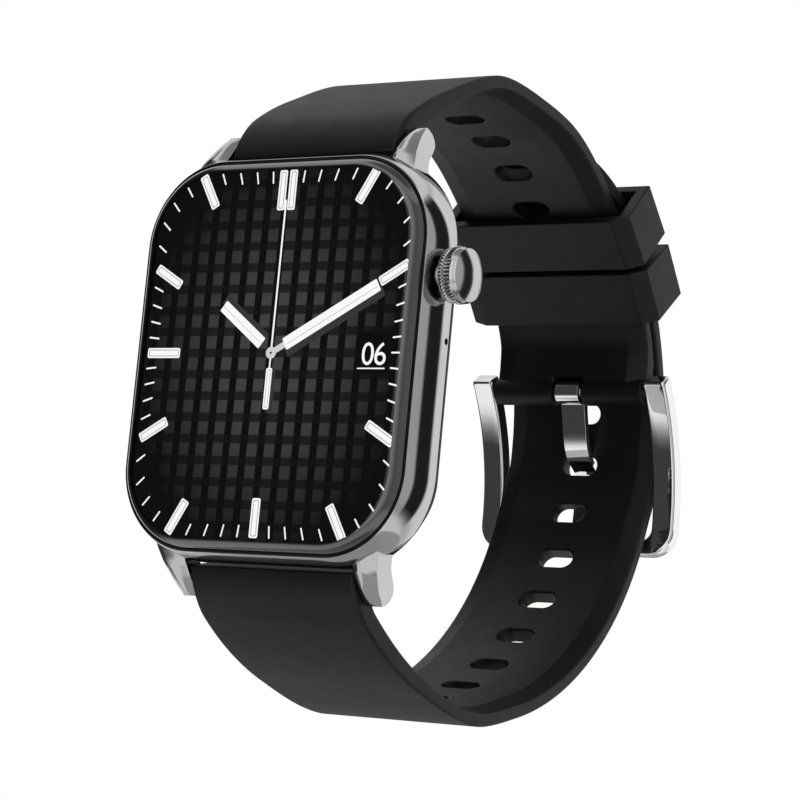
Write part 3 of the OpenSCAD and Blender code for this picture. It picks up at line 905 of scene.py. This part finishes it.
def length_at(angle):
    """Length along the loop to an angle, with the angle's sign."""
    return math.copysign(float(np.interp(abs(angle), ANGLES, LENGTHS)), angle)


def angle_at(length):
    """The angle at a length along the loop."""
    return math.copysign(float(np.interp(abs(length), LENGTHS, ANGLES)), length)


def root_growth(angle):
    """How much thicker the strap gets towards the case."""
    return (ROOT_T - STRAP_T) * smooth(abs(angle), 98, ROOT_A)


def dip(angle):
    """How far the strap lies inside its ellipse: outside it at the crest, inside it near the case."""
    if angle > 0:
        fall = (ROOT_DIP + UPPER_CREST) * smooth(angle, 97, 118)
        return fall - UPPER_CREST * smooth(angle, 83, 101)
    fall = (ROOT_DIP + LOWER_CREST) * smooth(-angle, 86, 109)
    return fall - LOWER_CREST * smooth(-angle, 76, 91)


def long_out(angle):
    """How far the long strap lies outside the ellipse: it climbs over the short one."""
    return LAP_LIFT * smooth(angle, -17, -3) + TIP_LIFT * smooth(angle, 53, TIP_A) - dip(angle)


def long_t(angle):
    return LONG_T + root_growth(angle)


def short_out(angle):
    """How far the short strap lies outside the ellipse: it goes below the long one."""
    return LAP_DEPTH * (1 - smooth(angle, 52, 76)) - dip(angle)


def short_t(angle):
    """The short strap is thicker where it folds round the buckle pin."""
    return STRAP_T + root_growth(angle) + FOLD_T * (1 - smooth(angle, 17, 23))


def bezier(points, u):
    """A cubic curve's point."""
    a, b, c, d = (Vector(p) for p in points)
    v = 1 - u
    return v * v * v * a + 3 * v * v * u * b + 3 * v * u * u * c + u * u * u * d


def root_section(u):
    """Outer and inner point of the strap end beside the case, u from the loop's end to the case."""
    start = loop_point(ROOT_A, -ROOT_DIP)
    outer = bezier((start, start - Vector((1.45, 1.07)), (-6.4, 22.8), (-6.55, 21.2)), u)
    inner = loop_point(ROOT_A, -ROOT_DIP - ROOT_T).lerp(Vector((-2.1, 20.3)), u)
    return outer, inner


def long_section(length):
    """Outer and inner point of the long strap at a length, as (Y, Z)."""
    angle = angle_at(length)
    extra = -length - ROOT_S
    if extra > 0:
        outer, inner = root_section(min(1.0, extra / ROOT_LENGTH))
        return Vector((outer.x, -outer.y)), Vector((inner.x, -inner.y))
    out = long_out(angle)
    return loop_point(angle, out), loop_point(angle, out - long_t(angle))


def short_section(length):
    """Outer and inner point of the short strap at a length, as (Y, Z)."""
    end = length_at(SHORT_END_A)
    if length > ROOT_S:
        return root_section(min(1.0, (length - ROOT_S) / ROOT_LENGTH))
    angle = angle_at(max(length, end))
    out = short_out(angle)
    outer, inner = loop_point(angle, out), loop_point(angle, out - short_t(angle))
    if length < end:
        u = min(1.0, (end - length) / FOLD_LENGTH)
        outer = outer.lerp(Vector((PIN_Y + FOLD_HALF, PIN_Z + 0.5)), u)
        inner = inner.lerp(Vector((PIN_Y - FOLD_HALF, PIN_Z + 0.5)), u)
    return outer, inner


def long_plan(inset):
    """Outline of the long strap laid flat, as (x, length): square at the case, round at the tip."""
    half = STRAP_HALF - inset
    base = -ROOT_S - ROOT_LENGTH + inset
    centre = length_at(TIP_CENTRE_A)
    points = [(-half, base), (half, base)]
    points += arc((0, centre), half, 0, 180, 48)
    return points


def short_plan(inset):
    """Outline of the short strap laid flat, notched in the middle of the buckle end."""
    half = STRAP_HALF - inset
    notch = NOTCH_HALF + inset
    top = ROOT_S + ROOT_LENGTH - inset
    base = length_at(SHORT_END_A) - FOLD_LENGTH + inset
    deep = base + NOTCH_DEPTH
    return [
        (half, base), (half, top), (-half, top), (-half, base),
        (-notch, base), (-notch, deep), (notch, deep), (notch, base),
    ]


def slot_plan(length, inset):
    """A stadium hole across the strap; inset widens it."""
    radius = SLOT_HALF + inset
    points = arc((SLOT_REACH, length), radius, -90, 90, 14)
    points += arc((-SLOT_REACH, length), radius, 90, 270, 14)
    return points


def slab(plan, holes, section):
    """A strap cut flat with rounded edges and rims, then bent onto its loop.

    Each vertex is (x, length, share of thickness) until the section turns it into a place.
    """
    bm = bmesh.new()
    layers = []
    steps = 4
    for side in (0, 1):
        for k in range(steps + 1):
            a = math.radians(90 * (k if side == 0 else steps - k) / steps)
            layers.append((1 - math.sin(a), 1 - math.cos(a), side))
    loops_low = []
    loops_high = []
    outlines = [(plan, EDGE_R)] + [(lambda gap, at=at: slot_plan(at, gap), RIM_R) for at in holes]
    for outline, radius in outlines:
        rings = []
        for gap, lift, side in layers:
            share = lift * radius / FLAT_T
            share = share if side == 0 else 1 - share
            rings.append([bm.verts.new((x, length, share)) for x, length in outline(gap * radius)])
        for first, second in zip(rings, rings[1:]):
            ring_faces(bm, first, second)
        loops_low.append(rings[0])
        loops_high.append(rings[-1])
    for loops in (loops_low, loops_high):
        fill(bm, loops)
    bmesh.ops.recalc_face_normals(bm, faces=bm.faces)
    cut_into_strips(bm, 0.9)
    for vert in bm.verts:
        x, length, share = vert.co
        outer, inner = section(length)
        inner = inner.lerp(outer, margin(x) * (1 - share) if share < 0.5 else 0.0)
        at = inner.lerp(outer, share)
        vert.co = (x, at.x, at.y)
    return bm


def fill(bm, loops):
    """Closes one side of a flat shape, with its outline and its holes as loops of vertices."""
    edges = []
    for ring in loops:
        for k in range(len(ring)):
            edges.append(bm.edges.get((ring[k], ring[(k + 1) % len(ring)])))
    bmesh.ops.triangle_fill(bm, use_beauty=True, use_dissolve=False, edges=edges)


def cut(bm, point, normal):
    """Adds edges where a plane crosses the mesh."""
    everything = list(bm.verts) + list(bm.edges) + list(bm.faces)
    bmesh.ops.bisect_plane(bm, geom=everything, dist=1e-5, plane_co=point, plane_no=normal)


def cut_into_strips(bm, pitch):
    """Cuts a flat shape into short strips so that it can bend, and lengthwise at its margins."""
    lengths = [v.co.y for v in bm.verts]
    low, high = min(lengths), max(lengths)
    count = int((high - low) / pitch)
    for k in range(1, count):
        cut(bm, (0, low + (high - low) * k / count, 0), (0, 1, 0))
    for x in (-MARGIN_X - 0.15, -MARGIN_X + 0.15, MARGIN_X - 0.15, MARGIN_X + 0.15):
        cut(bm, (x, 0, 0), (1, 0, 0))


def margin(x):
    """How far the inner face rises towards the outer one near the strap's edges."""
    return 0.30 * max(0.0, min(1.0, (abs(x) - MARGIN_X) / (STRAP_HALF - MARGIN_X)))


def strap_long():
    """The 6 o'clock strap with its adjusting slots."""
    slots = [length_at(SLOT_A - SLOT_STEP * k) for k in range(-3, 8)]
    bm = slab(long_plan, slots, long_section)
    made = mesh_object("strap_long_band", bm, SILICONE)
    flat_shading_kept(made, 38)
    piece(made, "strap_long", "silicone", "strap_long")


def knuckle_half(bm, x0, x1):
    """One side of the tube round the buckle pin, with rounded ends."""
    rounding = ((0, 0.5), (0, 0.22), (0.06, 0.07), (0.22, 0))
    ends = [(x0 + along_x, KNUCKLE_R - less) for along_x, less in rounding]
    ends += [(x1 - along_x, KNUCKLE_R - less) for along_x, less in reversed(rounding)]
    around = 56
    rings = []
    for x, r in ends:
        ring = []
        for k in range(around):
            a = 2 * math.pi * k / around
            ring.append(bm.verts.new((x, PIN_Y + r * math.cos(a), PIN_Z + r * math.sin(a))))
        rings.append(ring)
    for first, second in zip(rings, rings[1:]):
        ring_faces(bm, first, second)
    bm.faces.new(rings[0])
    bm.faces.new(rings[-1])


def strap_short():
    """The 12 o'clock strap with its vents, and the tube round the buckle pin."""
    vents = [length_at(VENT_A - VENT_STEP * k) for k in range(4)]
    bm = slab(short_plan, vents, short_section)
    knuckle_half(bm, -STRAP_HALF, -NOTCH_HALF)
    knuckle_half(bm, NOTCH_HALF, STRAP_HALF)
    made = mesh_object("strap_short_band", bm, SILICONE)
    flat_shading_kept(made, 38)
    piece(made, "strap_short", "silicone", "strap_short")


def keeper(name, angle, node):
    """A rectangular silicone loop with a bevel on the wrist side."""
    wall, side_wall = 1.2, 1.4
    low = LAP_DEPTH - STRAP_T - 0.45
    high = LAP_LIFT + 0.4
    half = STRAP_HALF + 1.1
    out = half + side_wall
    outer = [
        (2 - out, low - wall), (out - 2, low - wall), (out, low - wall + 0.9),
        (out, high + wall), (-out, high + wall), (-out, low - wall + 0.9),
    ]
    inner = [
        (0.6 - half, low), (half - 0.6, low), (half, low + 0.1),
        (half, high), (-half, high), (-half, low + 0.1),
    ]
    centre = loop_point(angle, 0)
    tilt = math.radians((loop_normal(angle) + KEEPER_LEAN) / 2)
    away = Vector((math.cos(tilt), math.sin(tilt)))
    onwards = Vector((-math.sin(tilt), math.cos(tilt)))
    bm = bmesh.new()
    rings = []
    for outline, end in ((outer, -1), (outer, 1), (inner, 1), (inner, -1)):
        ring = []
        for x, reach in outline:
            at = centre + away * reach + onwards * (end * KEEPER_LONG / 2)
            ring.append(bm.verts.new((x, at.x, at.y)))
        rings.append(ring)
    for first, second in zip(rings, rings[1:] + rings[:1]):
        ring_faces(bm, first, second)
    made = mesh_object(name, bm, SILICONE)
    rounded_edges(made, 0.16, 20)
    flat_shading_kept(made, 60)
    piece(made, node, "silicone", node)


# ---- Buckle ----


def buckle_bow():
    """The polished U-shaped frame, cut flat with rounded corners and bent to its arc."""
    out, wide = 13.0, 2.8
    top = ARC_R * math.radians(36.0)
    base = ARC_R * math.radians(-7.4)
    bar_top = ARC_R * math.radians(-3.8)
    outer_r, inner_r = 3.0, 1.4
    ear = 0.35

    def outline(inset):
        o = out - inset
        i = out - wide + inset
        points = arc((o - ear, top - ear - inset), ear, 0, 90, 6)
        points += arc((i + ear, top - ear - inset), ear, 90, 180, 6)
        points += arc((i - inner_r, bar_top - inset + inner_r), inner_r, 0, -90, 8)
        points += [(-x, y) for x, y in reversed(points)]
        points += arc((-o + outer_r, base + inset + outer_r), outer_r, 180, 270, 12)
        points += arc((o - outer_r, base + inset + outer_r), outer_r, 270, 360, 12)
        return points

    bm = bmesh.new()
    rings = []
    steps, edge, thick = 5, 0.32, 2.0
    for side in (-1, 1):
        for k in range(steps + 1):
            a = math.radians(90 * (k if side < 0 else steps - k) / steps)
            gap = edge * (1 - math.sin(a))
            lift = side * (thick / 2 - edge + edge * math.cos(a))
            rings.append([bm.verts.new((x, length, lift)) for x, length in outline(gap)])
    for first, second in zip(rings, rings[1:]):
        ring_faces(bm, first, second)
    for ring in (rings[0], rings[-1]):
        fill(bm, [ring])
    cut_into_strips(bm, 0.5)
    for vert in bm.verts:
        x, length, lift = vert.co
        a = length / ARC_R
        reach = ARC_R + lift
        vert.co = (x, ARC_Y + reach * math.cos(a), ARC_Z + reach * math.sin(a))
    made = mesh_object("buckle_bow", bm, CHROME)
    flat_shading_kept(made, 50)
    piece(made, "buckle", "steel", "buckle_frame")


def softened(points):
    """Cuts the corners of a closed outline twice, so that they read as round."""
    for _ in range(2):
        finer = []
        for here, after in zip(points, points[1:] + points[:1]):
            for share in (0.25, 0.75):
                finer.append(tuple(here[k] + (after[k] - here[k]) * share for k in (0, 1)))
        points = finer
    return points


def prism(bm, outline, half, hole=None):
    """Draws an outline of (Y, Z) across the watch; a hole has as many points as the outline."""
    rings = []
    for x in (-half, half):
        rings.append([bm.verts.new((x, y, z)) for y, z in outline])
    ring_faces(bm, *rings)
    if hole is None:
        for ring in rings:
            bm.faces.new(ring)
        return
    inner = []
    for x in (-half, half):
        inner.append([bm.verts.new((x, y, z)) for y, z in hole])
    ring_faces(bm, *inner)
    for outside, inside in zip(rings, inner):
        ring_faces(bm, outside, inside)


def buckle_prong():
    """The polished tongue: a ring round the pin, a step, a flat run and a hooked tip."""
    half, t = 1.55, 0.8
    bm = bmesh.new()
    outside, bore = (arc((PIN_Y, PIN_Z), radius, 0, 352.5, 47) for radius in (1.5, 0.76))
    prism(bm, outside, half, bore)
    run = [
        (PIN_Y + 0.3, PIN_Z - 1.0), (PIN_Y + 0.55, PIN_Z - 1.7), (54.2, -1.05), (57.35, -2.85),
        (57.75, -3.5), (57.72, -4.6), (57.4, -11.4), (57.36, -12.2), (57.35, -12.45), (57.35, -12.6),
        (57.35 + t, -12.6), (57.36 + t, -12.2), (57.4 + t, -11.4), (57.72 + t, -4.6),
        (57.75 + t, -3.6), (57.7 + t, -2.9), (58.05, -2.3),
        (54.2 + t, -0.85), (PIN_Y + 0.5 + t, PIN_Z - 1.3), (PIN_Y + 1.3, PIN_Z - 0.5),
    ]
    prism(bm, softened(run), half)
    made = mesh_object("buckle_prong", bm, CHROME)
    rounded_edges(made, 0.13, 50)
    flat_shading_kept(made, 50)
    piece(made, "tongue", "steel", "buckle_tongue")


case_frame()
cover_glass()
lugs()
dial_screen()
hour_markers()
minute_track()
date_numerals()
hands()
crown()
strap_long()
strap_short()
keeper("keeper_band_upper", UPPER_KEEPER_A, "keeper_upper")
keeper("keeper_band_lower", LOWER_KEEPER_A, "keeper_lower")
buckle_bow()
buckle_prong()


# ---- Studio ----


def studio_light():
    """A white room to look at, and a softer studio with dark and bright sides to be lit by."""
    world = bpy.data.worlds.new("studio")
    bpy.context.scene.world = world
    world.use_nodes = True
    world.node_tree.nodes.clear()
    sky = Graph(world.node_tree)

    def band(angle, low, high, stops):
        """Brightness by an angle in degrees, with (angle, level) stops."""
        share = sky.maths("DIVIDE", sky.maths("SUBTRACT", angle, low), high - low)
        return sky.ramp(share, *[((at - low) / (high - low), grey(level)) for at, level in stops])

    def mixed(share, first, second=None):
        """Goes from the first colour to the second, or to white."""
        made = sky.node("ShaderNodeMixRGB")
        made.inputs["Color2"].default_value = (1, 1, 1, 1)
        sky.link(share, made.inputs["Fac"])
        sky.link(first, made.inputs["Color1"])
        if second is not None:
            sky.link(second, made.inputs["Color2"])
        return made.outputs[0]

    split = sky.node("ShaderNodeSeparateXYZ")
    sky.link(sky.node("ShaderNodeTexCoord").outputs["Generated"], split.inputs[0])
    x, y, z = split.outputs
    turn = sky.maths("DEGREES", sky.maths("ARCTAN2", x, sky.maths("MULTIPLY", y, -1.0)))
    lift = sky.maths("DEGREES", sky.maths("ARCSINE", z))
    level_band = band(turn, -180, 180, [
        (-180, 0.30), (-142, 0.35), (-127, 0.9), (-113, 0.9), (-104, 0.045), (-18, 0.045), (-8, 1.3),
        (20, 1.0), (46, 0.4), (64, 0.5), (114, 0.5), (118, 0.02), (142, 0.02), (147, 1.0), (180, 0.9),
    ])
    tall_band = band(lift, -90, 90, [
        (-90, 0.16), (-72, 0.2), (-60, 0.9), (-42, 0.9), (-30, 0.3), (46, 0.3), (52, 0.9), (62, 0.9),
        (70, 0.32), (90, 0.28),
    ])
    near_level = band(lift, -90, 90, [(-90, 0), (-38, 0), (-26, 1), (44, 1), (52, 0), (90, 0)])
    lit = mixed(near_level, tall_band, level_band)
    seen = sky.node("ShaderNodeLightPath").outputs["Is Camera Ray"]
    background = sky.node("ShaderNodeBackground")
    sky.link(mixed(seen, lit), background.inputs["Color"])
    sky.link(background.outputs[0], sky.node("ShaderNodeOutputWorld").inputs["Surface"])


def floor():
    """A pale round floor below the watch, small enough to leave the sides in the dark."""
    radius, centre = 42, (0, 20, -60)
    bm = bmesh.new()
    bmesh.ops.create_circle(bm, cap_ends=True, segments=64, radius=radius)
    bmesh.ops.translate(bm, verts=bm.verts, vec=centre)
    pale = Recipe("pale_floor", Roughness=0.9, Specular_IOR_Level=0.1, Emission_Strength=0.05)
    pale.colour(pale.ramp(pale.noise(20), (0.3, grey(0.80)), (0.7, grey(0.82))))
    pale.shader.inputs["Emission Color"].default_value = (1, 1, 1, 1)
    made = mesh_object("floor", bm, pale.material)


def camera():
    """A long lens in front of the watch, to its right and a little below it, rolled slightly."""
    lens = bpy.data.cameras.new("camera")
    lens.sensor_width = 36
    lens.lens = 120.1
    lens.clip_start = 0.01
    made = bpy.data.objects.new("camera", lens)
    bpy.context.scene.collection.objects.link(made)
    yaw, pitch, roll = math.radians(32.856), math.radians(7.502), math.radians(5.367)
    turn = Matrix.Rotation(yaw, 4, "Z") @ Matrix.Rotation(math.pi / 2 + pitch, 4, "X")
    place = Matrix.Translation(Vector((154.18, -224.32, -38.09)) * MM)
    made.matrix_world = place @ turn @ Matrix.Rotation(roll, 4, "Z")
    bpy.context.scene.camera = made


camera()
studio_light()
floor()
bpy.context.scene.view_settings.view_transform = "Standard"
